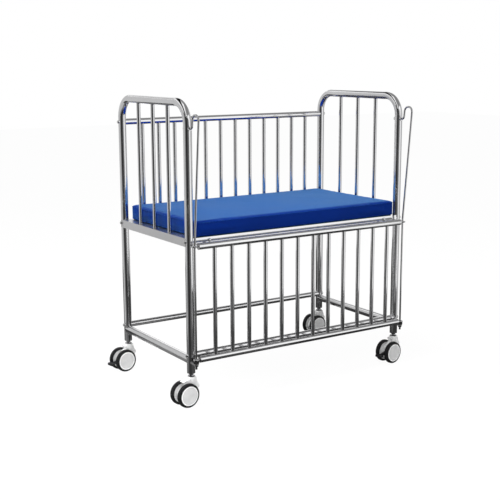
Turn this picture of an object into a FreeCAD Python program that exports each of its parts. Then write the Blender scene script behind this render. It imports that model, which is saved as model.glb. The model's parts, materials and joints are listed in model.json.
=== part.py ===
# Hospital crib with a drop side: two arched tube ends, a fixed barred back, a barred front
# that slides on bent guide rods, a mattress on a deck and four twin-wheel casters.
# Millimetres, Z up, standing on Z = 0. Lengths are first laid out from the axis of the
# front head-end post, then everything is moved so the bounding box is centred on X and Y.

import math
import os

import FreeCAD
import Part
from FreeCAD import Vector

X = Vector(1, 0, 0)
Y = Vector(0, 1, 0)
Z = Vector(0, 0, 1)

# Fits
running_gap = 0.05        # radial, shaft in bore
face_gap = 0.3            # between faces that move past each other
bedding_gap = 0.3         # mattress above the deck

# Frame
length_cc = 1018.0        # post axis to post axis, along the crib
width_cc = 540.0          # post axis to post axis, across the crib
leg_bottom = 126.0
wall = 1.5
post_r = 16.0
arch_z = 1150.0
arch_bend = 80.0
bar_r = 8.0
bar_wall = 1.2
end_bar_count = 3
end_bar_inset = 150.0     # first bar from the post axis
rail_r = 12.5

# Deck
deck_z = 649.0                       # top face of the deck
end_rail = 32.0                      # square tube across each end
deck_rail = 25.0                     # square tube along each side
cross_member = 20.0                  # square tube under the panel
panel_t = 2.0
cross_inset = 80.0                   # first cross member from the post axis
cross_count = 4

# Stretchers near the floor
end_stretcher_z = 176.0
side_stretcher_z = 196.0

# Fixed back panel
back_top_z = 1054.0
back_bar_count = 12
back_bar_inset = 91.0                # first bar from the post axis

# Drop side, lowered
side_y = -41.0
side_low_z = 186.5
side_height = 436.1                  # rail axis to rail axis
side_end = 15.0                      # rail end from the guide rod axis
side_bar_count = 12
side_bar_inset = 85.5                # first bar from the guide rod axis
eye_ring_r = 9.2
eye_wire_r = 3.2
eye_pin_r = 3.0
eye_pin_depth = 14.0
side_plug = 18.0

# Guide rods
rod_r = 4.0
hook_z = 1056.0                      # where the rod goes through the post
hook_top_z = 1107.0
hook_inner_y = -40.0
hook_outer_y = -84.0
hook_rise = 6.0                      # how far the rod slopes out as it rises to the hook
foot_bend = 13.0
hook_bend = 20.0
lean_bend = 200.0
rod_bend_z = 625.0                   # the rod is plumb below this and leans out above it
rod_end_z = 150.0
rod_tail = 25.0                      # rod end inside the crib, from the post axis
lug_top_z = 173.0
lug_t = 6.0
lug_half = 9.5
nut_across_flats = 13.0
nut_h = 6.5
sleeve_r = 8.0
sleeve_end = 22.0
buffer_r = 11.0

# Screws
screw_r = 4.0
head_r = 7.0
head_h = 7.5
cap_h = 5.0
plug_depth = 20.0

# Mattress
mattress_t = 59.7
mattress_side_gap = 19.0             # from the post axes, at each end
mattress_front_y = -12.0
mattress_corner = 14.0
mattress_edge = 6.0

# Casters
trail = 31.0
wheel_r = 47.0
axle_z = wheel_r
hub_r = 38.2
wheel_outer = 35.0
wheel_inner = 15.0
axle_r = 5.0
axle_end = 29.0
hood_r = 26.0
hood_half = 12.0
neck_step = 1.0                      # neck radius over the post radius
neck_top_z = 111.5
neck_bottom_z = 91.0
flange_step = 3.0                    # stem flange radius under the post radius
flange_t = 6.0
collar_r = 8.5
stem_r = 6.0
stem_bottom_z = 90.0
stem_depth = 24.0
tail_long = 27.0                     # tail behind the neck of a plain hood
tail_short = 7.0                     # and of a braked one
tail_fall = 0.35                     # how far the tail drops, per mm of its length
leg_plug_h = 28.0
pedal_reach = 98.0
pedal_pad = 19.0
pedal_half = 17.0
pedal_low_z = 33.0
pedal_t = 8.0
pedal_corner = 5.0
pedal_arm_half = 4.5
pivot_x = -48.0
pivot_z = 45.0
pivot_r = 3.0
pivot_boss_r = 6.0

screw_hole_r = screw_r + running_gap
rod_hole_r = rod_r + running_gap
deck_rail_z = deck_z - deck_rail / 2.0
lean = (hook_outer_y - side_y) / (hook_top_z - rod_bend_z)


def cylinder(start, axis, length, radius):
    return Part.makeCylinder(radius, length, start, axis)


def box(x0, x1, y0, y1, z0, z1):
    return Part.makeBox(x1 - x0, y1 - y0, z1 - z0, Vector(x0, y0, z0))


def cut_all(shape, cutters):
    for cutter in cutters:
        shape = shape.cut(cutter)
    return shape


def prism(points, axis_from, axis_to):
    """A polygon in X and Z carried along Y."""
    corners = [Vector(px, axis_from, pz) for px, pz in points]
    face = Part.Face(Part.makePolygon(corners + [corners[0]]))
    return face.extrude(Vector(0, axis_to - axis_from, 0))


def hexagon(start, axis, length, across_flats):
    side = Part.makeCylinder(across_flats, length)
    for step in range(6):
        block = Part.makeBox(across_flats * 2, across_flats * 4, length)
        block.translate(Vector(across_flats / 2.0, -across_flats * 2, 0))
        block.rotate(Vector(0, 0, 0), Z, 60.0 * step)
        side = side.cut(block)
    side.Placement = FreeCAD.Placement(start, FreeCAD.Rotation(Z, axis))
    return side


def bent_rod(points, bends, radius):
    """A round bar along straight runs joined by bends."""
    edges = []
    last = points[0]
    for here, bend, after in zip(points[1:-1], bends, points[2:]):
        arriving = (here - last).normalize()
        leaving = (after - here).normalize()
        turn = arriving.getAngle(leaving)
        setback = bend * math.tan(turn / 2.0)
        begin = here - arriving * setback
        end = here + leaving * setback
        inward = (leaving - arriving).normalize()
        middle = here + inward * (bend / math.cos(turn / 2.0) - bend)
        edges.append(Part.makeLine(last, begin))
        edges.append(Part.Arc(begin, middle, end).toShape())
        last = end
    edges.append(Part.makeLine(last, points[-1]))
    start = (points[1] - points[0]).normalize()
    profile = Part.Wire([Part.Circle(points[0], start, radius).toShape()])
    return Part.Wire(edges).makePipeShell([profile], True, False)


def other_end(shape):
    """The same piece at the foot end."""
    return shape.mirror(Vector(length_cc / 2.0, 0, 0), X)


def both_ends(shapes):
    return shapes + [other_end(shape) for shape in shapes]


def dome_screw(tip, axis, reach, seats):
    """A dome-head screw from the top of its head; the head beds on the seats."""
    ball_r = (head_r ** 2 + cap_h ** 2) / (2.0 * cap_h)
    half_turn = math.asin(head_r / ball_r) / 2.0
    crest = Vector(0, 0, 0)
    shoulder = Vector(head_r, 0, cap_h)
    between = Vector(ball_r * math.sin(half_turn), 0, ball_r * (1.0 - math.cos(half_turn)))
    rim = Vector(head_r, 0, head_h + 2.0)
    middle = Vector(0, 0, head_h + 2.0)
    outline = Part.Wire([
        Part.Arc(crest, between, shoulder).toShape(),
        Part.makeLine(shoulder, rim),
        Part.makeLine(rim, middle),
        Part.makeLine(middle, crest),
    ])
    head = Part.Face(outline).revolve(Vector(0, 0, 0), Z, 360.0)
    head.Placement = FreeCAD.Placement(tip, FreeCAD.Rotation(Z, axis))
    head = cut_all(head, seats)
    shank = cylinder(tip + axis * (head_h - 2.0), axis, reach + 2.0, screw_r)
    return head.fuse(shank).removeSplitter()


def bar_tube(foot, top_z, seats):
    """An upright bar of thin tube, trimmed to what it is welded to."""
    height = top_z - foot.z
    tube = cylinder(foot, Z, height, bar_r).cut(cylinder(foot, Z, height, bar_r - bar_wall))
    return cut_all(tube, seats)


def solids_of(shapes):
    found = []
    for shape in shapes:
        found.extend(shape.Solids)
    return found


# ---- shapes the other pieces are trimmed against ----

front_post = cylinder(Vector(0, 0, leg_bottom), Z, arch_z - leg_bottom, post_r)
back_post = cylinder(Vector(0, width_cc, leg_bottom), Z, arch_z - leg_bottom, post_r)
posts = both_ends([front_post, back_post])
end_block = box(-post_r, post_r, 0, width_cc, deck_z - end_rail, deck_z)
end_blocks = both_ends([end_block])

# ---- screws along X through the posts into the side rails ----

rail_axes = [
    (0.0, side_stretcher_z),
    (width_cc, side_stretcher_z),
    (0.0, deck_rail_z),
    (width_cc, deck_rail_z),
    (width_cc, back_top_z),
]
screws = []
screw_holes = []
for rail_y, rail_z in rail_axes:
    tip = Vector(-post_r - head_h, rail_y, rail_z)
    reach = 2.0 * post_r + plug_depth - 4.0
    screws.append(dome_screw(tip, X, reach, [front_post, back_post, end_block]))
    screw_holes.append(cylinder(tip, X, head_h + reach + 1.0, screw_hole_r))
screws = both_ends(screws)
screw_holes = both_ends(screw_holes)

# ---- screws along Y through the deck rails into the cross members ----

cross_pitch = (length_cc - 2.0 * cross_inset) / (cross_count - 1)
cross_x = [cross_inset + cross_pitch * step for step in range(cross_count)]
half_deck = deck_rail / 2.0
cross_top = deck_z - panel_t
cross_mid_z = cross_top - cross_member / 2.0
cross_screws = []
cross_holes = []
for at_x in (cross_x[0], cross_x[-1]):
    reach = deck_rail + plug_depth - 4.0
    front_tip = Vector(at_x, -half_deck - head_h, cross_mid_z)
    back_tip = Vector(at_x, width_cc + half_deck + head_h, cross_mid_z)
    front_face = box(at_x - 2.0 * head_r, at_x + 2.0 * head_r, -half_deck, half_deck,
                     deck_z - deck_rail, deck_z)
    back_face = front_face.translated(Vector(0, width_cc, 0))
    cross_screws.append(dome_screw(front_tip, Y, reach, [front_face]))
    cross_screws.append(dome_screw(back_tip, -Y, reach, [back_face]))
    cross_holes.append(cylinder(front_tip, Y, head_h + reach + 1.0, screw_hole_r))
    cross_holes.append(cylinder(back_tip, -Y, head_h + reach + 1.0, screw_hole_r))
dome_screws = screws + cross_screws

# ---- end frames ----

# Each is two legs and a top tube joined by elbows, butt-welded and ground flush

rod_hole = cylinder(Vector(0, -post_r - 2, hook_z), Y, 2 * post_r + 4, rod_hole_r)
bend_z = arch_z - arch_bend


def frame_tube(start, axis, length):
    tube = cylinder(start, axis, length, post_r).cut(cylinder(start, axis, length, post_r - wall))
    return cut_all(tube, screw_holes[:len(rail_axes)] + [rod_hole])


def elbow(start_y, centre_y):
    """A quarter bend from the top of a leg at start_y, about an axis at centre_y."""
    start = Vector(0, start_y, bend_z)
    edges = [Part.Circle(start, Z, radius).toShape() for radius in (post_r, post_r - wall)]
    ring = Part.Face([Part.Wire([edge]) for edge in edges])
    turn = -90.0 if centre_y > start_y else 90.0
    return ring.revolve(Vector(0, centre_y, bend_z), X, turn)


frame_tubes = [
    frame_tube(Vector(0, 0, leg_bottom), Z, bend_z - leg_bottom),
    frame_tube(Vector(0, width_cc, leg_bottom), Z, bend_z - leg_bottom),
    frame_tube(Vector(0, arch_bend, arch_z), Y, width_cc - 2.0 * arch_bend),
]
elbows = [elbow(0.0, arch_bend), elbow(width_cc, width_cc - arch_bend)]

arch_bar = cylinder(Vector(0, 0, arch_z), Y, width_cc, post_r)
end_bar_pitch = (width_cc - 2.0 * end_bar_inset) / (end_bar_count - 1)
end_bars = []
for step in range(end_bar_count):
    foot = Vector(0, end_bar_inset + step * end_bar_pitch, deck_z)
    end_bars.append(bar_tube(foot, arch_z, [arch_bar]))

half_end = end_rail / 2.0
end_deck_rail = box(-half_end, half_end, 0, width_cc, deck_z - end_rail, deck_z)
end_deck_rail = end_deck_rail.cut(box(-half_end + wall, half_end - wall, -1, width_cc + 1,
                                      deck_z - end_rail + wall, deck_z - wall))
end_deck_rail = cut_all(end_deck_rail, [front_post, back_post] + screw_holes[:len(rail_axes)])

end_stretcher = cylinder(Vector(0, 0, end_stretcher_z), Y, width_cc, post_r)
end_stretcher = end_stretcher.cut(cylinder(Vector(0, -1, end_stretcher_z), Y, width_cc + 2,
                                           post_r - wall))
end_stretcher = cut_all(end_stretcher, [front_post, back_post])

# ---- long rails, round and square ----


def round_rail(rail_y, rail_z):
    rail = cylinder(Vector(0, rail_y, rail_z), X, length_cc, rail_r)
    rail = rail.cut(cylinder(Vector(-1, rail_y, rail_z), X, length_cc + 2, rail_r - wall))
    return cut_all(rail, posts)


def square_rail(rail_y):
    low = deck_z - deck_rail
    rail = box(0, length_cc, rail_y - half_deck, rail_y + half_deck, low, deck_z)
    rail = rail.cut(box(-1, length_cc + 1, rail_y - half_deck + wall, rail_y + half_deck - wall,
                        low + wall, deck_z - wall))
    return cut_all(rail, posts + end_blocks + cross_holes)


def rail_plug(rail_y, rail_z):
    if rail_z == deck_rail_z:
        half = half_deck - wall
        plug = box(0, post_r + plug_depth, rail_y - half, rail_y + half,
                   rail_z - half, rail_z + half)
    else:
        plug = cylinder(Vector(0, rail_y, rail_z), X, post_r + plug_depth, rail_r - wall)
    return cut_all(plug, [front_post, back_post, end_block] + screw_holes[:len(rail_axes)])


rail_plugs = both_ends([rail_plug(rail_y, rail_z) for rail_y, rail_z in rail_axes])

back_top_rail = round_rail(width_cc, back_top_z)
back_rail_axis = cylinder(Vector(0, width_cc, back_top_z), X, length_cc, rail_r)
back_bar_pitch = (length_cc - 2.0 * back_bar_inset) / (back_bar_count - 1)
back_bars = []
for step in range(back_bar_count):
    foot = Vector(back_bar_inset + step * back_bar_pitch, width_cc, deck_z)
    back_bars.append(bar_tube(foot, back_top_z, [back_rail_axis]))

# ---- deck ----

cross_members = []
half_cross = cross_member / 2.0
for at_x in cross_x:
    tube = box(at_x - half_cross, at_x + half_cross, half_deck, width_cc - half_deck,
               cross_top - cross_member, cross_top)
    bore = box(at_x - half_cross + wall, at_x + half_cross - wall, 0, width_cc,
               cross_top - cross_member + wall, cross_top - wall)
    cross_members.append(tube.cut(bore))
half_bore = half_cross - wall
for at_x in (cross_x[0], cross_x[-1]):
    for from_y, to_y in ((half_deck, half_deck + plug_depth),
                         (width_cc - half_deck - plug_depth, width_cc - half_deck)):
        plug = box(at_x - half_bore, at_x + half_bore, from_y, to_y,
                   cross_top - cross_member + wall, cross_top - wall)
        rail_plugs.append(cut_all(plug, cross_holes))
deck_panel = box(post_r, length_cc - post_r, half_deck, width_cc - half_deck,
                 deck_z - panel_t, deck_z)
deck_panel = cut_all(deck_panel, posts)

# ---- guide rods and what holds them ----

rod_path = [
    Vector(0, rod_tail, hook_z),
    Vector(0, hook_inner_y + hook_rise, hook_z),
    Vector(0, hook_inner_y, hook_top_z),
    Vector(0, hook_outer_y, hook_top_z),
    Vector(0, side_y, rod_bend_z),
    Vector(0, side_y, rod_end_z),
]
guide_rod = bent_rod(rod_path, [foot_bend, hook_bend, hook_bend, lean_bend], rod_r)

inner_nut = hexagon(Vector(0, post_r - 2.0, hook_z), Y, nut_h + 2.0, nut_across_flats)
outer_sleeve = cylinder(Vector(0, -sleeve_end, hook_z), Y, sleeve_end - post_r + 3.0, sleeve_r)
rod_nuts = []
for nut in (inner_nut, outer_sleeve):
    nut = nut.cut(front_post)
    rod_nuts.append(nut.cut(cylinder(Vector(0, -40, hook_z), Y, 80, rod_hole_r)))

lug = box(-lug_half, lug_half, side_y, 0, lug_top_z - lug_t, lug_top_z)
lug = lug.fuse(cylinder(Vector(0, side_y, lug_top_z - lug_t), Z, lug_t, lug_half))
lug = lug.removeSplitter().cut(front_post)
rod_bore = cylinder(Vector(0, side_y, rod_end_z - 5), Z, 80, rod_hole_r)
lug = lug.cut(rod_bore)

buffer_top = side_low_z - eye_wire_r - face_gap
rod_buffer = cylinder(Vector(0, side_y, lug_top_z), Z, buffer_top - lug_top_z, buffer_r)
rod_buffer = rod_buffer.cut(rod_bore)
foot_nut = hexagon(Vector(0, side_y, lug_top_z - lug_t - nut_h), Z, nut_h, nut_across_flats)
foot_nut = foot_nut.cut(rod_bore)

# ---- drop side ----

side_top_z = side_low_z + side_height


def side_rail(rail_z):
    length = length_cc - 2.0 * side_end
    rail = cylinder(Vector(side_end, side_y, rail_z), X, length, rail_r)
    return rail.cut(cylinder(Vector(side_end, side_y, rail_z), X, length, rail_r - wall))


def side_plug_at(rail_z):
    plug = cylinder(Vector(side_end, side_y, rail_z), X, side_plug, rail_r - wall)
    bore = cylinder(Vector(side_end, side_y, rail_z), X, eye_pin_depth + face_gap,
                    eye_pin_r + running_gap)
    return plug.cut(bore)


def eye(rail_z):
    ring = Part.makeTorus(eye_ring_r, eye_wire_r, Vector(0, side_y, rail_z), Z)
    pin = cylinder(Vector(eye_ring_r, side_y, rail_z), X,
                   side_end + eye_pin_depth - eye_ring_r, eye_pin_r)
    return ring.fuse(pin).removeSplitter()


side_bar_pitch = (length_cc - 2.0 * side_bar_inset) / (side_bar_count - 1)
side_bars = []
side_rail_axes = [cylinder(Vector(side_end, side_y, rail_z), X, length_cc - 2 * side_end, rail_r)
                  for rail_z in (side_low_z, side_top_z)]
for step in range(side_bar_count):
    foot = Vector(side_bar_inset + step * side_bar_pitch, side_y, side_low_z)
    side_bars.append(bar_tube(foot, side_top_z, side_rail_axes))

# ---- mattress ----

mattress = box(mattress_side_gap, length_cc - mattress_side_gap, mattress_front_y,
               mattress_front_y + width_cc, deck_z + bedding_gap,
               deck_z + bedding_gap + mattress_t)
upright = [edge for edge in mattress.Edges if abs(edge.tangentAt(0).z) > 0.9]
mattress = mattress.makeFillet(mattress_corner, upright)
level = [edge for edge in mattress.Edges if edge.BoundBox.ZLength < 0.01]
mattress = mattress.makeFillet(mattress_edge, level)

# ---- casters, laid out about the stem axis, trailing toward -X ----

neck_r = post_r + neck_step
flange_bottom_z = neck_top_z + face_gap
stem = cylinder(Vector(0, 0, stem_bottom_z), Z, leg_bottom + stem_depth - stem_bottom_z, stem_r)
stem = stem.fuse(cylinder(Vector(0, 0, flange_bottom_z), Z, flange_t, post_r - flange_step))
stem = stem.fuse(cylinder(Vector(0, 0, flange_bottom_z), Z, leg_bottom - flange_bottom_z, collar_r))
stem = stem.removeSplitter()
leg_plug = cylinder(Vector(0, 0, leg_bottom), Z, leg_plug_h, post_r - wall)
leg_plug = leg_plug.cut(cylinder(Vector(0, 0, leg_bottom), Z, stem_depth, stem_r + running_gap))


def hood(braked):
    body = cylinder(Vector(-trail, -hood_half, axle_z), Y, 2 * hood_half, hood_r)
    tail_x = -neck_r - (tail_short if braked else tail_long)
    tail_z = neck_top_z - 4 + (neck_r + tail_x) * tail_fall
    shoulder = [
        (-trail - 18, axle_z + 18), (-neck_r, axle_z + 44), (tail_x, tail_z - 2), (tail_x, tail_z),
        (-neck_r, neck_top_z - 4), (-neck_r + 3, neck_top_z - 1), (neck_r - 3, neck_top_z - 1),
        (neck_r, neck_top_z - 8), (neck_r + 4, axle_z + 42), (neck_r + 12, axle_z + 30),
        (neck_r + 10, axle_z + 20), (6, axle_z + 3), (-trail, axle_z),
    ]
    body = body.fuse(prism(shoulder, -hood_half, hood_half))
    body = body.fuse(cylinder(Vector(0, 0, neck_bottom_z), Z, neck_top_z - neck_bottom_z, neck_r))
    body = body.removeSplitter()
    body = body.cut(cylinder(Vector(0, 0, stem_bottom_z - 2), Z, 40, stem_r + running_gap))
    body = body.cut(cylinder(Vector(-trail, -20, axle_z), Y, 40, axle_r))
    if braked:
        slot_half = pedal_arm_half + face_gap
        body = body.cut(box(-trail - hood_r - 20, pivot_x + 7, -slot_half, slot_half,
                            axle_z - hood_r, pivot_z + 18))
        body = body.cut(cylinder(Vector(pivot_x, -20, pivot_z), Y, 40, pivot_r + running_gap))
    return body


def pedal():
    pad_x = -pedal_reach + pedal_pad
    arm = prism([
        (pivot_x, pivot_z + pivot_boss_r), (pivot_x, pivot_z - pivot_boss_r),
        (pad_x - 1, pedal_low_z), (pad_x - 13, pedal_low_z), (pad_x - 13, pedal_low_z + pedal_t),
        (pad_x - 1, pedal_low_z + pedal_t + 2),
    ], -pedal_arm_half, pedal_arm_half)
    arm = arm.fuse(cylinder(Vector(pivot_x, -pedal_arm_half, pivot_z), Y, 2 * pedal_arm_half,
                            pivot_boss_r))
    arm = arm.fuse(cylinder(Vector(pivot_x, -hood_half, pivot_z), Y, 2 * hood_half, pivot_r))
    pad = box(-pedal_reach, pad_x, -pedal_half, pedal_half, pedal_low_z, pedal_low_z + pedal_t)
    corners = [edge for edge in pad.Edges if abs(edge.tangentAt(0).z) > 0.9]
    return arm.fuse(pad.makeFillet(pedal_corner, corners)).removeSplitter()


def turned(profile):
    """A profile of radius and distance along Y, turned about the axle."""
    corners = [Vector(-trail + radius, along, axle_z) for radius, along in profile]
    face = Part.Face(Part.makePolygon(corners + [corners[0]]))
    return face.revolve(Vector(-trail, 0, axle_z), Y, 360.0)


def hub():
    bore = axle_r + running_gap
    return turned([
        (0, axle_end + face_gap), (bore, axle_end + face_gap), (bore, hood_half + face_gap),
        (10, hood_half + face_gap), (10, wheel_inner), (hub_r - 12, wheel_inner),
        (hub_r - 10.5, wheel_inner + 1.5), (hub_r - 5.5, wheel_inner + 1.5),
        (hub_r - 4, wheel_inner), (hub_r, wheel_inner),
        (hub_r, wheel_outer - 0.8), (hub_r - 0.8, wheel_outer), (hub_r - 4.5, wheel_outer),
        (hub_r - 5.5, wheel_outer - 1.2), (0, wheel_outer - 1.2),
    ])


def tyre():
    inner = wheel_inner + 0.4
    outer = wheel_outer - 0.8
    return turned([
        (hub_r, inner), (wheel_r - 3, inner), (wheel_r - 1, inner + 1.6), (wheel_r, inner + 4.4),
        (wheel_r, outer - 6), (wheel_r - 1, outer - 2.5), (wheel_r - 3, outer - 0.6),
        (wheel_r - 5, outer), (hub_r, outer),
    ])


def facing_front(shape):
    return shape.mirror(Vector(0, 0, 0), Y)


axle = cylinder(Vector(-trail, -axle_end, axle_z), Y, 2 * axle_end, axle_r)

# Each leg: its place, how far its caster has swung round, in degrees, and whether it brakes
legs = {
    "front_head": (Vector(0, 0, 0), 5.0, False),
    "back_head": (Vector(0, width_cc, 0), 7.0, True),
    "front_foot": (Vector(length_cc, 0, 0), 8.0, True),
    "back_foot": (Vector(length_cc, width_cc, 0), 6.0, False),
}

# ---- every piece by name ----

pieces = {
    "head_frame_tube": frame_tubes,
    "foot_frame_tube": [other_end(tube) for tube in frame_tubes],
    "frame_elbows": both_ends(elbows),
    "head_frame_bars": end_bars,
    "foot_frame_bars": [other_end(bar) for bar in end_bars],
    "head_deck_rail": [end_deck_rail],
    "foot_deck_rail": [other_end(end_deck_rail)],
    "head_stretcher": [end_stretcher],
    "foot_stretcher": [other_end(end_stretcher)],
    "front_stretcher": [round_rail(0.0, side_stretcher_z)],
    "back_stretcher": [round_rail(width_cc, side_stretcher_z)],
    "back_top_rail": [back_top_rail],
    "back_bars": back_bars,
    "deck_front_rail": [square_rail(0.0)],
    "deck_back_rail": [square_rail(width_cc)],
    "deck_cross_members": cross_members,
    "deck_panel": [deck_panel],
    "dome_screws": dome_screws,
    "rail_plugs": rail_plugs,
    "guide_rod_head": [guide_rod],
    "guide_rod_foot": [other_end(guide_rod)],
    "guide_rod_nuts": both_ends(rod_nuts),
    "rod_foot_lugs": both_ends([lug]),
    "rod_buffers": both_ends([rod_buffer]),
    "rod_foot_nuts": both_ends([foot_nut]),
    "leg_plugs": [leg_plug.translated(place) for place, swing, braked in legs.values()],
    "caster_stems": [stem.translated(place) for place, swing, braked in legs.values()],
    "drop_top_rail": [side_rail(side_top_z)],
    "drop_bottom_rail": [side_rail(side_low_z)],
    "drop_bars": side_bars,
    "drop_rail_plugs": both_ends([side_plug_at(side_low_z), side_plug_at(side_top_z)]),
    "drop_top_eyes": both_ends([eye(side_top_z)]),
    "drop_bottom_eyes": both_ends([eye(side_low_z)]),
    "mattress": [mattress],
}
for leg, (place, swing, braked) in legs.items():
    caster = {
        "_caster_hood": hood(braked),
        "_axle": axle,
        "_rear_hub": hub(),
        "_rear_tyre": tyre(),
        "_near_hub": facing_front(hub()),
        "_near_tyre": facing_front(tyre()),
    }
    if braked:
        caster["_brake_pedal"] = pedal()
    for ending, shape in caster.items():
        pieces[leg + ending] = [shape.rotated(Vector(0, 0, 0), Z, swing).translated(place)]

# ---- centre the bounding box and write ----

low = Vector(0, 0, 0)
high = Vector(0, 0, 0)
for shapes in pieces.values():
    for shape in shapes:
        limits = shape.optimalBoundingBox(False, False)
        low = Vector(min(low.x, limits.XMin), min(low.y, limits.YMin), 0)
        high = Vector(max(high.x, limits.XMax), max(high.y, limits.YMax), 0)
centring = (low + high) * -0.5

os.makedirs("parts", exist_ok=True)
for name, shapes in pieces.items():
    placed = [solid.translated(centring) for solid in solids_of(shapes)]
    shape = placed[0] if len(placed) == 1 else Part.makeCompound(placed)
    shape.exportStep("parts/" + name + ".step")
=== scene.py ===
"""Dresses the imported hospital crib: polished steel, vinyl mattress, casters, welds, studio."""
import json
import math

import bmesh
import bpy
from mathutils import Matrix, Vector
from mathutils.bvhtree import BVHTree


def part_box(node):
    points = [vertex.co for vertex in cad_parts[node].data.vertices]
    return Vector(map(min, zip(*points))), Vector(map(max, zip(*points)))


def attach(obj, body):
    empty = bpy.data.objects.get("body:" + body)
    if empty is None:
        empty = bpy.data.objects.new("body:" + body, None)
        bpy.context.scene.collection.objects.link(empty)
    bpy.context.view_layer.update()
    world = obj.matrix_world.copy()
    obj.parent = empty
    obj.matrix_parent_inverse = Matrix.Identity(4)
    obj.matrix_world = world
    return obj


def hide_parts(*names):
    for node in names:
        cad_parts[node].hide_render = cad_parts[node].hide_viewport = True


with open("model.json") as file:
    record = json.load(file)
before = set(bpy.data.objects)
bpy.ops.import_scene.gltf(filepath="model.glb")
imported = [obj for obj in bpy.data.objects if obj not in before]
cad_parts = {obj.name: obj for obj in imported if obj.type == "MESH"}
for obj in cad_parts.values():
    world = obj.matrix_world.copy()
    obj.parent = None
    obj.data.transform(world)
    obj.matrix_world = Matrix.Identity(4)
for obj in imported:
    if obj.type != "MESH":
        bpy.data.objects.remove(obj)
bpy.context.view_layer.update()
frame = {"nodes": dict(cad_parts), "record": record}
scene = bpy.context.scene
MM = 0.001

# ---- places taken from the frame ----

POST_R = 16 * MM
BAR_R = 8 * MM
RAIL_R = 12.5 * MM
BACK_BARS = 12
SIDE_BARS = 12
END_BARS = 3


def middle(node):
    """The middle of a node's box."""
    low, high = (Vector(corner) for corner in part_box(node))
    return (low + high) / 2


HEAD_X = middle("head_deck_rail").x
FOOT_X = middle("foot_deck_rail").x
FRONT_Y = middle("front_stretcher").y
BACK_Y = middle("back_stretcher").y
SIDE_Y = middle("drop_bottom_rail").y
ARCH_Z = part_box("head_frame_tube")[1][2] - POST_R
DECK_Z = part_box("deck_front_rail")[1][2]

# ---- camera ----

FRAME_PIXELS = 500.0
FOCAL_PIXELS = 991.73
SENSOR_MM = 36.0
CAMERA_PLACE = (-2.27091, -3.41929, 1.3065)
camera = bpy.data.objects.new("camera", bpy.data.cameras.new("camera"))
scene.collection.objects.link(camera)
scene.camera = camera
camera.data.sensor_width = SENSOR_MM
camera.data.lens = FOCAL_PIXELS * SENSOR_MM / FRAME_PIXELS
camera.data.clip_end = 60.0
yaw, pitch, roll = (math.radians(angle) for angle in (33.07, 10.93, -0.23))
ahead = Vector((
    math.sin(yaw) * math.cos(pitch),
    math.cos(yaw) * math.cos(pitch),
    -math.sin(pitch),
))
right = Vector((math.cos(yaw), -math.sin(yaw), 0.0))
up = right.cross(ahead)
rolled_right = right * math.cos(roll) + up * math.sin(roll)
rolled_up = up * math.cos(roll) - right * math.sin(roll)
turn = Matrix((rolled_right, rolled_up, -ahead)).transposed().to_4x4()
camera.matrix_world = Matrix.Translation(CAMERA_PLACE) @ turn
scene.view_settings.view_transform = "Standard"

# ---- materials ----


class Nodes:
    """A small helper for building a node tree."""

    def __init__(self, name):
        self.material = bpy.data.materials.new(name)
        self.material.use_nodes = True
        self.tree = self.material.node_tree
        self.shader = self.tree.nodes["Principled BSDF"]
        self.place = self.add("ShaderNodeTexCoord").outputs["Object"]

    def add(self, kind, **settings):
        node = self.tree.nodes.new(kind)
        for key, value in settings.items():
            setattr(node, key, value)
        return node

    def link(self, source, target):
        self.tree.links.new(source, target)

    def noise(self, scale, detail=3.0, stretch=None):
        """Noise over the object's own space, with scale in cells per metre."""
        node = self.add("ShaderNodeTexNoise")
        node.inputs["Scale"].default_value = scale
        node.inputs["Detail"].default_value = detail
        source = self.place
        if stretch:
            mapping = self.add("ShaderNodeMapping")
            mapping.inputs["Scale"].default_value = stretch
            self.link(source, mapping.inputs["Vector"])
            source = mapping.outputs["Vector"]
        self.link(source, node.inputs["Vector"])
        return node.outputs["Fac"]

    def spread(self, source, low, high, start=0.3, stop=0.7):
        """Maps a 0 to 1 value between two values."""
        node = self.add("ShaderNodeMapRange")
        node.inputs["From Min"].default_value = start
        node.inputs["From Max"].default_value = stop
        node.inputs["To Min"].default_value = low
        node.inputs["To Max"].default_value = high
        self.link(source, node.inputs["Value"])
        return node.outputs["Result"]

    def tint(self, source, dark, light):
        """A colour between two, by a 0 to 1 value."""
        node = self.add("ShaderNodeMix", data_type="RGBA")
        node.inputs["A"].default_value = (*dark, 1.0)
        node.inputs["B"].default_value = (*light, 1.0)
        self.link(source, node.inputs["Factor"])
        return node.outputs["Result"]

    def bump(self, source, height, strength=1.0, under=None):
        """Relief of a height in metres, laid over another relief if one is given."""
        node = self.add("ShaderNodeBump")
        node.inputs["Distance"].default_value = height
        node.inputs["Strength"].default_value = strength
        self.link(source, node.inputs["Height"])
        if under is not None:
            self.link(under, node.inputs["Normal"])
        return node.outputs["Normal"]

    def set(self, **inputs):
        """Sets or links the shader's inputs by name, with _ for a space."""
        for name, value in inputs.items():
            socket = self.shader.inputs[name.replace("_", " ")]
            if isinstance(value, bpy.types.NodeSocket):
                self.link(value, socket)
            else:
                socket.default_value = value


def steel(name, dark, light, smooth, rough, polish):
    """Polished steel: smears in the polish, fine belt lines and faint waviness."""
    n = Nodes(name)
    smears = n.noise(9.0, 4.0)
    lines = n.noise(60.0, 2.0, stretch=polish)
    waves = n.noise(14.0, 1.0)
    n.set(
        Base_Color=n.tint(n.spread(smears, 0.0, 1.0), dark, light),
        Metallic=1.0,
        Roughness=n.spread(smears, smooth, rough),
        Normal=n.bump(lines, 0.00002, 0.35, under=n.bump(waves, 0.0004, 0.3)),
    )
    return n.material


def plastic(name, dark, light, smooth, rough, grain):
    """Moulded plastic: fine spark-eroded grain and slight handling marks."""
    n = Nodes(name)
    marks = n.noise(45.0, 4.0)
    n.set(
        Base_Color=n.tint(n.spread(marks, 0.0, 1.0), dark, light),
        Roughness=n.spread(marks, smooth, rough),
        Normal=n.bump(n.noise(grain, 2.0), 0.00006, 0.5),
    )
    return n.material


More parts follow.
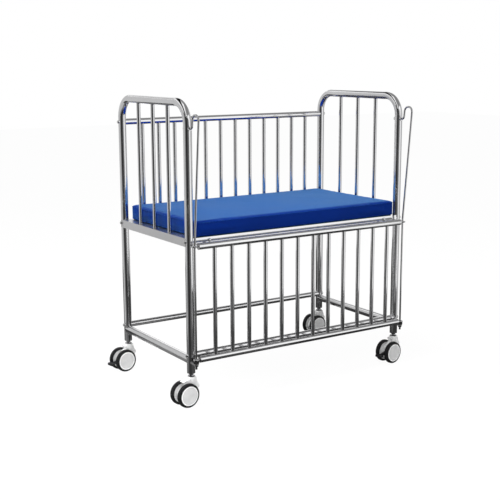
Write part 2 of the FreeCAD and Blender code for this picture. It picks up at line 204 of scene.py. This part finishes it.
def rubber(name, dark, light, dust):
    """Rubber with a soft matt surface and a little floor dust."""
    n = Nodes(name)
    worn = n.spread(n.noise(70.0, 5.0), 0.0, dust, 0.45, 0.75)
    n.set(
        Base_Color=n.tint(worn, dark, light),
        Roughness=n.spread(n.noise(120.0), 0.5, 0.7),
        Specular_IOR_Level=0.3,
        Normal=n.bump(n.noise(900.0, 2.0), 0.00008, 0.4),
    )
    return n.material


def vinyl(name):
    """Coated mattress cover: leather-like emboss, broad soft wrinkles, wiped sheen."""
    n = Nodes(name)
    cells = n.add("ShaderNodeTexVoronoi", feature="DISTANCE_TO_EDGE")
    cells.inputs["Scale"].default_value = 750.0
    n.link(n.place, cells.inputs["Vector"])
    emboss = n.bump(n.spread(cells.outputs["Distance"], 0.0, 1.0, 0.0, 0.25), 0.00012, 0.5)
    folds = n.bump(n.noise(7.0, 3.0), 0.004, 0.25, under=emboss)
    wiped = n.noise(5.0, 4.0)
    n.set(
        Base_Color=n.tint(
            n.spread(wiped, 0.0, 1.0), (0.0008, 0.016, 0.150), (0.0012, 0.020, 0.185)),
        Roughness=n.spread(wiped, 0.46, 0.58),
        Specular_IOR_Level=0.05,
        Sheen_Weight=1.0,
        Sheen_Roughness=0.3,
        Sheen_Tint=(0.18, 0.54, 1.0, 1.0),
        Normal=folds,
    )
    return n.material


GRAIN = 1400.0
tube_steel = steel(
    "polished_tube", (0.85, 0.85, 0.86), (0.93, 0.93, 0.94), 0.05, 0.11, (1, 1, 12))
satin_steel = steel(
    "satin_tube", (0.78, 0.78, 0.79), (0.88, 0.88, 0.89), 0.30, 0.42, (1, 1, 20))
bright_steel = steel(
    "bright_rod", (0.66, 0.66, 0.67), (0.75, 0.75, 0.76), 0.06, 0.12, (1, 1, 8))
screw_steel = steel(
    "dome_screw", (0.90, 0.90, 0.90), (0.96, 0.96, 0.96), 0.10, 0.18, (4, 4, 4))
weld_steel = steel(
    "weld_bead", (0.42, 0.41, 0.40), (0.58, 0.57, 0.56), 0.22, 0.36, (6, 6, 6))
hood_plastic = plastic("caster_white", (0.80, 0.80, 0.80), (0.88, 0.88, 0.88), 0.40, 0.50, GRAIN)
hub_plastic = plastic("hub_grey", (0.60, 0.60, 0.60), (0.68, 0.68, 0.68), 0.40, 0.50, GRAIN)
rim_white = plastic("rim_white", (0.90, 0.90, 0.90), (0.94, 0.94, 0.94), 0.25, 0.35, GRAIN)
pedal_plastic = plastic(
    "pedal_black", (0.012, 0.012, 0.013), (0.022, 0.022, 0.024), 0.38, 0.5, GRAIN)
tyre_rubber = rubber("tyre_black", (0.007, 0.007, 0.008), (0.05, 0.048, 0.045), 0.25)
buffer_rubber = rubber("buffer_black", (0.012, 0.012, 0.012), (0.05, 0.05, 0.05), 0.2)
cover_vinyl = vinyl("blue_vinyl")

finishes = {
    "polished_steel": tube_steel,
    "satin_steel": satin_steel,
    "bright_steel": bright_steel,
    "grey_plastic": hood_plastic,
    "black_plastic": pedal_plastic,
    "black_tyre": tyre_rubber,
    "black_rubber": buffer_rubber,
    "blue_vinyl": cover_vinyl,
}

# The record gives the slot; wheel hubs and dome screws take a finish of their own.
for part in frame["record"]["subparts"]:
    node = frame["nodes"][part["node"]]
    finish = finishes[part["material_slot"]]
    if part["node"].endswith("_hub"):
        finish = hub_plastic
    elif part["node"].endswith("_screws"):
        finish = screw_steel
    for place in node.material_slots:
        place.material = finish

# ---- mesh helpers ----


def mesh_object(name, points, faces, material, smooth=True):
    """A mesh object with one material."""
    mesh = bpy.data.meshes.new(name)
    mesh.from_pydata([tuple(point) for point in points], [], faces)
    mesh.materials.append(material)
    for face in mesh.polygons:
        face.use_smooth = smooth
    obj = bpy.data.objects.new(name, mesh)
    scene.collection.objects.link(obj)
    return obj


def closed_bead(path, radius, sides=6):
    """Points and faces of a thin cord that runs round a closed path."""
    points, faces = [], []
    count = len(path)
    centre = sum(path, Vector()) / count
    for step, here in enumerate(path):
        along = (path[(step + 1) % count] - path[step - 1]).normalized()
        outward = here - centre
        outward = (outward - along * outward.dot(along)).normalized()
        side = along.cross(outward)
        for turn_step in range(sides):
            angle = 2 * math.pi * turn_step / sides
            points.append(here + radius * (outward * math.cos(angle) + side * math.sin(angle)))
    for step in range(count):
        base, ahead_base = step * sides, (step + 1) % count * sides
        for turn_step in range(sides):
            after = (turn_step + 1) % sides
            faces.append((base + turn_step, base + after,
                          ahead_base + after, ahead_base + turn_step))
    return points, faces


def bead_piece(name, paths, radius, material, body):
    """Every bead on one body, as one piece."""
    points, faces = [], []
    for path in paths:
        new_points, new_faces = closed_bead(path, radius)
        start = len(points)
        points += new_points
        faces += [tuple(start + index for index in face) for face in new_faces]
    piece = mesh_object(name, points, faces, material)
    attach(piece, body)
    return piece


def ring_on_flat(x, y, z, radius, count=28):
    """Where a round bar stands on a level face."""
    return [
        Vector((x + radius * math.cos(2 * math.pi * step / count),
                y + radius * math.sin(2 * math.pi * step / count), z))
        for step in range(count)
    ]


def ring_on_tube(x, y, tube_z, bar_r, tube_r, along_x, way, count=28):
    """Where an upright bar meets a level tube, above (way 1) or below (way -1) its axis."""
    path = []
    for step in range(count):
        angle = 2 * math.pi * step / count
        dx, dy = bar_r * math.cos(angle), bar_r * math.sin(angle)
        off = dy if along_x else dx
        path.append(Vector((x + dx, y + dy, tube_z + way * math.sqrt(tube_r ** 2 - off ** 2))))
    return path


def ring_on_post(x, post_y, z, way, half, round_tube, count=40):
    """Where a level end tube meets a post, toward +Y (way 1) or -Y (way -1)."""
    path = []
    for step in range(count):
        angle = 2 * math.pi * (step + 0.5) / count
        dx, dz = half * math.cos(angle), half * math.sin(angle)
        if not round_tube:
            stretch = half / max(abs(dx), abs(dz))
            dx, dz = dx * stretch, dz * stretch
        reach = math.sqrt(max(POST_R ** 2 - dx ** 2, 0.0))
        path.append(Vector((x + dx, post_y + way * reach, z + dz)))
    return path


# ---- weld beads ----

BACK_TOP_Z = middle("back_top_rail").z
SIDE_TOP_Z = middle("drop_top_rail").z
SIDE_LOW_Z = middle("drop_bottom_rail").z
STRETCHER_Z = middle("head_stretcher").z
FRAME_BEAD = 1.3 * MM
SIDE_BEAD = 1.1 * MM


def bar_places(node, count, axis):
    """Where the bars of a node stand along an axis, evenly spaced."""
    low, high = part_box(node)
    first, last = low[axis] + BAR_R, high[axis] - BAR_R
    return [first + (last - first) * step / (count - 1) for step in range(count)]


frame_welds = []
for x in bar_places("back_bars", BACK_BARS, 0):
    frame_welds.append(ring_on_flat(x, BACK_Y, DECK_Z, BAR_R))
    frame_welds.append(ring_on_tube(x, BACK_Y, BACK_TOP_Z, BAR_R, RAIL_R, True, -1))
for x in (HEAD_X, FOOT_X):
    for y in bar_places("head_frame_bars", END_BARS, 1):
        frame_welds.append(ring_on_flat(x, y, DECK_Z, BAR_R))
        frame_welds.append(ring_on_tube(x, y, ARCH_Z, BAR_R, POST_R, False, -1))
    for post_y, way in ((FRONT_Y, 1), (BACK_Y, -1)):
        frame_welds.append(ring_on_post(x, post_y, DECK_Z - POST_R, way, POST_R, False))
        frame_welds.append(ring_on_post(x, post_y, STRETCHER_Z, way, POST_R, True))
bead_piece("frame_welds", frame_welds, FRAME_BEAD, weld_steel, "frame")

side_welds = []
for x in bar_places("drop_bars", SIDE_BARS, 0):
    side_welds.append(ring_on_tube(x, SIDE_Y, SIDE_LOW_Z, BAR_R, RAIL_R, True, 1))
    side_welds.append(ring_on_tube(x, SIDE_Y, SIDE_TOP_Z, BAR_R, RAIL_R, True, -1))
bead_piece("side_welds", side_welds, SIDE_BEAD, weld_steel, "drop_side")

# ---- wheel rims ----


def turned_ring(centre, axis, profile, count=64):
    """Points and faces of a ring with a closed profile of (radius, distance along the axis)."""
    side = axis.orthogonal().normalized()
    up_side = axis.cross(side)
    points, faces = [], []
    for step in range(count):
        angle = 2 * math.pi * step / count
        outward = side * math.cos(angle) + up_side * math.sin(angle)
        points += [centre + outward * radius + axis * along for radius, along in profile]
    corners = len(profile)
    for step in range(count):
        base, ahead_base = step * corners, (step + 1) % count * corners
        for corner in range(corners):
            after = (corner + 1) % corners
            faces.append((base + corner, base + after, ahead_base + after, ahead_base + corner))
    return points, faces


HUB_R = 38.2 * MM
HUB_FACE = 10 * MM                    # from the middle of a hub's box to its outer face
rim_profile = [
    (HUB_R - 4.4 * MM, HUB_FACE - 0.1 * MM), (HUB_R - 4.1 * MM, HUB_FACE + 0.25 * MM),
    (HUB_R - 3.6 * MM, HUB_FACE + 0.4 * MM), (HUB_R - 1.5 * MM, HUB_FACE + 0.4 * MM),
    (HUB_R - 1.0 * MM, HUB_FACE + 0.25 * MM), (HUB_R - 0.8 * MM, HUB_FACE - 0.1 * MM),
]
for leg in ("front_head", "back_head", "front_foot", "back_foot"):
    near, rear = middle(leg + "_near_hub"), middle(leg + "_rear_hub")
    for side, centre, other in (("near", near, rear), ("rear", rear, near)):
        axis = (centre - other).normalized()
        ring = turned_ring(centre, axis, rim_profile)
        rim = mesh_object(leg + "_" + side + "_rim", *ring, rim_white)
        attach(rim, leg + "_" + side + "_wheel")

# ---- mattress ----

CORNER_R = 14 * MM
COVER_INSET = 1.5 * MM
EDGE = 3 * MM
SWELL_PRESSURE = 3.0
SWELL_CAP = 3 * MM
SWELL_VOXEL = 5 * MM
SWELL_FRAMES = 20
SEAM_R = 1.5 * MM
SEAM_INSET = 6 * MM
SEAM_STEP = 20 * MM

def rounded_outline(low, high, corner, steps=7):
    """Points round a rectangle with rounded corners, in order."""
    points = []
    centres = (
        (high.x - corner, high.y - corner, 0),
        (low.x + corner, high.y - corner, 90),
        (low.x + corner, low.y + corner, 180),
        (high.x - corner, low.y + corner, 270),
    )
    for cx, cy, start in centres:
        for step in range(steps + 1):
            angle = math.radians(start + 90.0 * step / steps)
            points.append((cx + corner * math.cos(angle), cy + corner * math.sin(angle)))
    return points


def mattress_block(inset):
    """A closed block a little smaller than the mattress, with softened edges."""
    low, high = (Vector(corner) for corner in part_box("mattress"))
    low += Vector((inset, inset, 0.5 * MM))
    high -= Vector((inset, inset, inset))
    build = bmesh.new()
    rings = []
    for z, pull in ((low.z, EDGE), (low.z + EDGE, 0), (high.z - EDGE, 0), (high.z, EDGE)):
        edge = Vector((pull, pull, 0))
        outline = rounded_outline(low + edge, high - edge, CORNER_R - pull)
        rings.append([build.verts.new((x, y, z)) for x, y in outline])
    for lower, upper in zip(rings, rings[1:]):
        for step in range(len(lower)):
            after = (step + 1) % len(lower)
            build.faces.new((lower[step], lower[after], upper[after], upper[step]))
    build.faces.new(list(reversed(rings[0])))
    build.faces.new(rings[-1])
    mesh = bpy.data.meshes.new("mattress_cover")
    build.to_mesh(mesh)
    build.free()
    mesh.materials.append(cover_vinyl)
    obj = bpy.data.objects.new("mattress_cover", mesh)
    scene.collection.objects.link(obj)
    return obj


def apply_modifiers(obj):
    """Replaces the mesh by the one its modifiers make."""
    shaped = bpy.data.meshes.new_from_object(
        obj.evaluated_get(bpy.context.evaluated_depsgraph_get()))
    obj.modifiers.clear()
    obj.data = shaped


def swell(obj, pressure, cap, voxel):
    """Blows the block up as cloth, with each point held within cap of where it began."""
    remesh = obj.modifiers.new("remesh", "REMESH")
    remesh.mode = "VOXEL"
    remesh.voxel_size = voxel
    apply_modifiers(obj)
    start = [vertex.co.copy() for vertex in obj.data.vertices]
    cloth = obj.modifiers.new("cloth", "CLOTH")
    cloth.settings.use_pressure = True
    cloth.settings.uniform_pressure_force = pressure
    cloth.settings.effector_weights.gravity = 0.0
    cloth.settings.tension_stiffness = 60.0
    cloth.settings.compression_stiffness = 60.0
    cloth.settings.bending_stiffness = 8.0
    cloth.point_cache.frame_start = 1
    cloth.point_cache.frame_end = SWELL_FRAMES
    for number in range(1, SWELL_FRAMES + 1):
        scene.frame_set(number)
    apply_modifiers(obj)
    scene.frame_set(1)
    for vertex, was in zip(obj.data.vertices, start):
        move = vertex.co - was
        if move.length > cap:
            vertex.co = was + move * (cap / move.length)


def seam_path(surface, low, high, z):
    """A seam round the cover at one height, laid on its surface."""
    path = []
    outline = rounded_outline(low, high, CORNER_R, 9)
    for here, after in zip(outline, outline[1:] + outline[:1]):
        parts = max(1, round(math.dist(here, after) / SEAM_STEP))
        for part in range(parts):
            share = part / parts
            x = here[0] + (after[0] - here[0]) * share
            y = here[1] + (after[1] - here[1]) * share
            spot = surface.find_nearest(Vector((x, y, z)))[0]
            path.append(Vector((spot.x, spot.y, z)))
    return path


def make_mattress():
    """The sewn cover, crowned by its foam, with a seam near its lower and upper edges."""
    box_low, box_high = (Vector(corner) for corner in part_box("mattress"))
    cover = mattress_block(COVER_INSET)
    swell(cover, SWELL_PRESSURE, SWELL_CAP, SWELL_VOXEL)
    floor_z = box_low.z + 0.2 * MM
    for vertex in cover.data.vertices:
        vertex.co.z = max(vertex.co.z, floor_z)
    finer = cover.modifiers.new("finer", "SUBSURF")
    finer.levels = finer.render_levels = 1
    for face in cover.data.polygons:
        face.use_smooth = True
    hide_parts("mattress")
    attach(cover, "mattress")
    surface = BVHTree.FromObject(cover, bpy.context.evaluated_depsgraph_get())
    seams = [seam_path(surface, box_low, box_high, z)
             for z in (box_low.z + SEAM_INSET, box_high.z - SEAM_INSET)]
    bead_piece("mattress_seams", seams, SEAM_R, cover_vinyl, "mattress")


make_mattress()

# ---- studio ----

FLOOR_SIZE = 30
FLOOR_WHITE = 1.03
FLOOR_SHARE = 0.93
WORLD_FILL = 0.35

def plane(name, centre, size, facing):
    """A flat sheet that faces one way."""
    mesh = bpy.data.meshes.new(name)
    half_x, half_y = size[0] / 2, size[1] / 2
    corners = [(-half_x, -half_y, 0), (half_x, -half_y, 0),
               (half_x, half_y, 0), (-half_x, half_y, 0)]
    mesh.from_pydata(corners, [], [(0, 1, 2, 3)])
    obj = bpy.data.objects.new(name, mesh)
    scene.collection.objects.link(obj)
    obj.matrix_world = (Matrix.Translation(centre)
                        @ Vector(facing).to_track_quat("Z", "Y").to_matrix().to_4x4())
    return obj


def glow(name, level):
    """A plain grey that shines at a level of its own."""
    material = bpy.data.materials.new(name)
    material.use_nodes = True
    tree = material.node_tree
    tree.nodes.clear()
    shine = tree.nodes.new("ShaderNodeEmission")
    shine.inputs["Color"].default_value = (level, level, level, 1.0)
    shine.inputs["Strength"].default_value = 1.0
    end = tree.nodes.new("ShaderNodeOutputMaterial")
    tree.links.new(shine.outputs["Emission"], end.inputs["Surface"])
    return material


def seen_rays(tree):
    """1 for rays that look at the background straight, in metal or through glass."""
    path = tree.nodes.new("ShaderNodeLightPath")
    total = path.outputs["Is Camera Ray"]
    for name in ("Is Glossy Ray", "Is Transmission Ray"):
        larger = tree.nodes.new("ShaderNodeMath")
        larger.operation = "MAXIMUM"
        tree.links.new(total, larger.inputs[0])
        tree.links.new(path.outputs[name], larger.inputs[1])
        total = larger.outputs["Value"]
    return total


def make_floor():
    """A white floor that keeps a share of the shadows on it."""
    floor = plane("floor", (0, 0, 0), (FLOOR_SIZE, FLOOR_SIZE), (0, 0, 1))
    material = bpy.data.materials.new("floor_white")
    material.use_nodes = True
    tree = material.node_tree
    matt = tree.nodes["Principled BSDF"]
    matt.inputs["Base Color"].default_value = (0.85, 0.85, 0.85, 1)
    matt.inputs["Roughness"].default_value = 0.9
    white = tree.nodes.new("ShaderNodeEmission")
    white.inputs["Strength"].default_value = FLOOR_WHITE
    share = tree.nodes.new("ShaderNodeMath")
    share.operation = "MULTIPLY"
    share.inputs[1].default_value = FLOOR_SHARE
    tree.links.new(seen_rays(tree), share.inputs[0])
    mixed = tree.nodes.new("ShaderNodeMixShader")
    tree.links.new(share.outputs["Value"], mixed.inputs["Fac"])
    tree.links.new(matt.outputs["BSDF"], mixed.inputs[1])
    tree.links.new(white.outputs["Emission"], mixed.inputs[2])
    tree.links.new(mixed.outputs["Shader"], tree.nodes["Material Output"].inputs["Surface"])
    floor.data.materials.append(material)


def make_world():
    """White to the eye and in reflections, and a soft fill for the rest."""
    world = bpy.data.worlds.new("studio")
    scene.world = world
    world.use_nodes = True
    tree = world.node_tree
    tree.nodes.clear()
    soft = tree.nodes.new("ShaderNodeBackground")
    soft.inputs["Color"].default_value = (1, 1, 1, 1)
    soft.inputs["Strength"].default_value = WORLD_FILL
    white = tree.nodes.new("ShaderNodeBackground")
    white.inputs["Color"].default_value = (1, 1, 1, 1)
    white.inputs["Strength"].default_value = 1.0
    mixed = tree.nodes.new("ShaderNodeMixShader")
    end = tree.nodes.new("ShaderNodeOutputWorld")
    tree.links.new(seen_rays(tree), mixed.inputs["Fac"])
    tree.links.new(soft.outputs["Background"], mixed.inputs[1])
    tree.links.new(white.outputs["Background"], mixed.inputs[2])
    tree.links.new(mixed.outputs["Shader"], end.inputs["Surface"])


def lamp(name, place, target, size, power):
    """A soft lamp that faces a point and doesn't show in reflections."""
    data = bpy.data.lights.new(name, "AREA")
    data.shape = "RECTANGLE"
    data.size, data.size_y = size
    data.energy = power
    obj = bpy.data.objects.new(name, data)
    scene.collection.objects.link(obj)
    facing = Vector(place) - Vector(target)
    obj.matrix_world = (Matrix.Translation(place)
                        @ facing.to_track_quat("Z", "Y").to_matrix().to_4x4())
    obj.visible_glossy = False


make_floor()
make_world()
lamp("key", (-1.9, -3.5, 2.6), (-0.1, 0, 0.5), (2.4, 2.4), 78)
lamp("fill", (3.2, -2.4, 2.0), (0, 0, 0.5), (2.4, 2.4), 8)
lamp("side", (-3.4, -0.4, 1.7), (-0.5, 0, 0.6), (2.0, 2.0), 9)
lamp("top", (-1.2, 0.1, 2.9), (-0.2, 0, 0.6), (2.0, 2.0), 122)

# Cards round the crib, each a wedge seen from its middle, with the near floor, the far floor,
# an upright sheet and a wedge of ceiling. Bearings are in degrees from the camera, plus to its
# left; then the levels of the near floor, of the far floor and sheet, and of the ceiling, how
# far the near floor reaches, how high the sheet stands and how far the ceiling reaches.
CARD_DISTANCE = 5.5
CARD_LOW = 0.01
CARD_LIFT = 0.003
CARD_INNER = 0.02
CARD_DEGREES = 8
CEILING_Z = 4.5
STRIP_DROP = 0.05
cards = (
    ("card_left_back", 160, 100, 0.05, 0.56, 0.52, 2.6, 3.6, 7.0),
    ("card_left_far", 100, 62, 0.20, 0.50, 0.60, 1.3, 3.6, 7.0),
    ("card_left_mid", 62, 40, 0.13, 0.17, 0.95, 1.3, 3.6, 7.0),
    ("card_left_dark", 40, 6, 0.035, 0.02, 0.26, 1.3, 3.6, 7.0),
    ("card_middle", 6, -28, 0.06, 0.095, 0.26, 1.3, 3.6, 7.0),
    ("card_right_mid", -28, -46, 0.09, 0.40, 0.26, 1.3, 1.2, 5.0),
    ("card_right_gap", -46, -78, 0.035, None, 0.22, 1.9, 1.2, 5.0),
    ("card_right_far", -78, -160, 0.04, 0.46, 0.24, 1.3, 3.6, 7.0),
    ("card_back", -160, -200, 0.05, None, 0.28, 2.6, 3.6, 7.0),
)

# The dark gap between the lights overhead, and the edges of the lights beside it: name, width,
# level and the points its middle line passes.
ceiling_strips = (
    ("strip_dark", 1.9, 0.003, ((1.2, 3.7), (-1.5, 1.3), (-3.6, -0.7), (-7.0, -2.3))),
    ("strip_left", 1.5, 1.00, ((-0.4, 5.2), (-3.0, 2.7), (-5.2, 0.6), (-7.6, -0.6))),
    ("strip_right", 1.4, 1.00, ((-0.2, 0.3), (-2.2, -2.1), (-3.0, -5.0))),
)


def toward(bearing):
    """The level direction at a bearing."""
    angle = math.atan2(-math.cos(yaw), -math.sin(yaw)) - math.radians(bearing)
    return Vector((math.cos(angle), math.sin(angle), 0.0))


def card_mesh(name, points, faces, level):
    """A card that only reflections see."""
    card = mesh_object(name, points, faces, glow(name, level), False)
    for kind in ("camera", "diffuse", "shadow", "transmission"):
        setattr(card, "visible_" + kind, False)


def spread_rays(rays, distance, z):
    """Where rays from the crib's middle are at a distance and a height."""
    return [ray * distance + Vector((0, 0, z)) for ray in rays]


def quads(count):
    """Faces between an inner and an outer row of points, count wide."""
    return [(step, step + 1, step + count + 2, step + count + 1) for step in range(count)]


for name, start, stop, near_level, level, above_level, near_reach, high, reach in cards:
    steps = max(1, round(abs(start - stop) / CARD_DEGREES))
    rays = [toward(start + (stop - start) * step / steps) for step in range(steps + 1)]
    inner = spread_rays(rays, CARD_INNER, CARD_LIFT)
    edge = spread_rays(rays, near_reach, CARD_LIFT)
    card_mesh(name + "_near", inner + edge, quads(steps), near_level)
    inner = spread_rays(rays, CARD_INNER, CEILING_Z)
    outer = spread_rays(rays, reach, CEILING_Z)
    card_mesh(name + "_above", inner + outer, quads(steps), above_level)
    if level is None:
        continue
    outer = spread_rays(rays, CARD_DISTANCE, CARD_LIFT)
    card_mesh(name + "_floor", edge + outer, quads(steps), level)
    foot = spread_rays(rays, CARD_DISTANCE, CARD_LOW)
    top = spread_rays(rays, CARD_DISTANCE, high)
    card_mesh(name + "_wall", foot + top, quads(steps), level)

for name, wide, level, spine in ceiling_strips:
    points = [Vector((*point, CEILING_Z - STRIP_DROP)) for point in spine]
    last = len(points) - 1
    edges = []
    for step, point in enumerate(points):
        along = points[min(step + 1, last)] - points[max(step - 1, 0)]
        half = along.cross(Vector((0, 0, 1))).normalized() * wide / 2
        edges += [point - half, point + half]
    strip = [(2 * step, 2 * step + 2, 2 * step + 3, 2 * step + 1) for step in range(last)]
    card_mesh(name, edges, strip, level)
